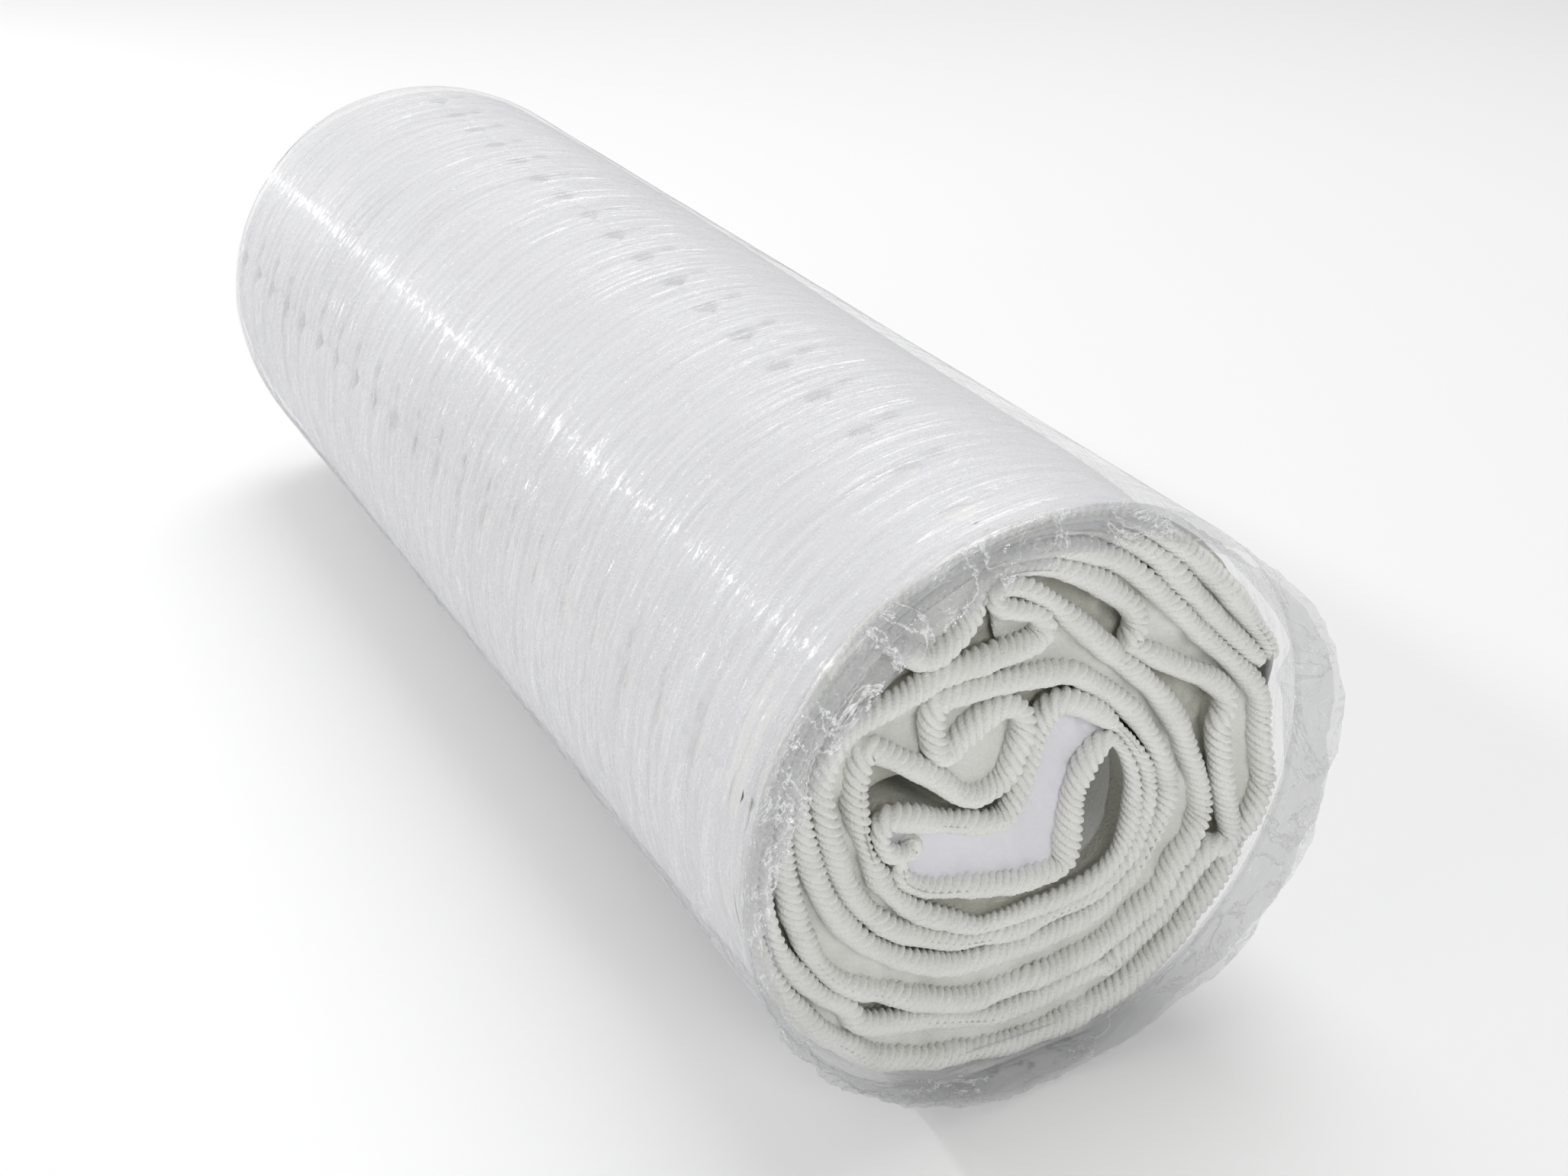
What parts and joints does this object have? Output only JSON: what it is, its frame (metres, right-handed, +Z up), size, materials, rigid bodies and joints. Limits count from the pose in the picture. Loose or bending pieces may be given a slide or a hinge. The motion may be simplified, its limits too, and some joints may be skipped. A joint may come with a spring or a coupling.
{
  "type": "rolled memory foam mattress",
  "caption": "Memory foam mattress compressed and rolled into a cylinder, its spiral showing at one open end, wrapped in clear stretch film.",
  "frame": {"origin": "on the floor below the middle of the roll: the bounding box's bottom centre", "axes": "+Y along the roll's axis, the open end that shows the spiral faces -Y; +X across the roll; +Z up"},
  "size_m": [0.28, 0.825, 0.275],
  "materials": {
    "stretch_film": "clear glossy stretch film, wrinkled",
    "edge_roll_fabric": "matte ribbed knit with slanted ribs",
    "border_fabric": "matte smooth knit",
    "quilted_panel": "matte quilted knit",
    "wadding": "matte fibre wadding",
    "memory_foam": "matte open-cell foam",
    "support_foam": "matte open-cell foam"
  },
  "bodies": {
    "root": {"bottom_panel": "quilted_panel", "bottom_wadding": "wadding", "film_front_collar": "stretch_film", "film_rear_fold": "stretch_film", "film_sleeve": "stretch_film", "foot_border": "border_fabric", "foot_bottom_edge_roll": "edge_roll_fabric", "foot_top_edge_roll": "edge_roll_fabric", "front_border": "border_fabric", "front_bottom_edge_roll": "edge_roll_fabric", "front_top_edge_roll": "edge_roll_fabric", "head_border": "border_fabric", "head_bottom_edge_roll": "edge_roll_fabric", "head_top_edge_roll": "edge_roll_fabric", "memory_foam": "memory_foam", "rear_border": "border_fabric", "rear_bottom_edge_roll": "edge_roll_fabric", "rear_top_edge_roll": "edge_roll_fabric", "support_foam": "support_foam", "top_panel": "quilted_panel", "top_wadding": "wadding"}
  },
  "joints": []
}
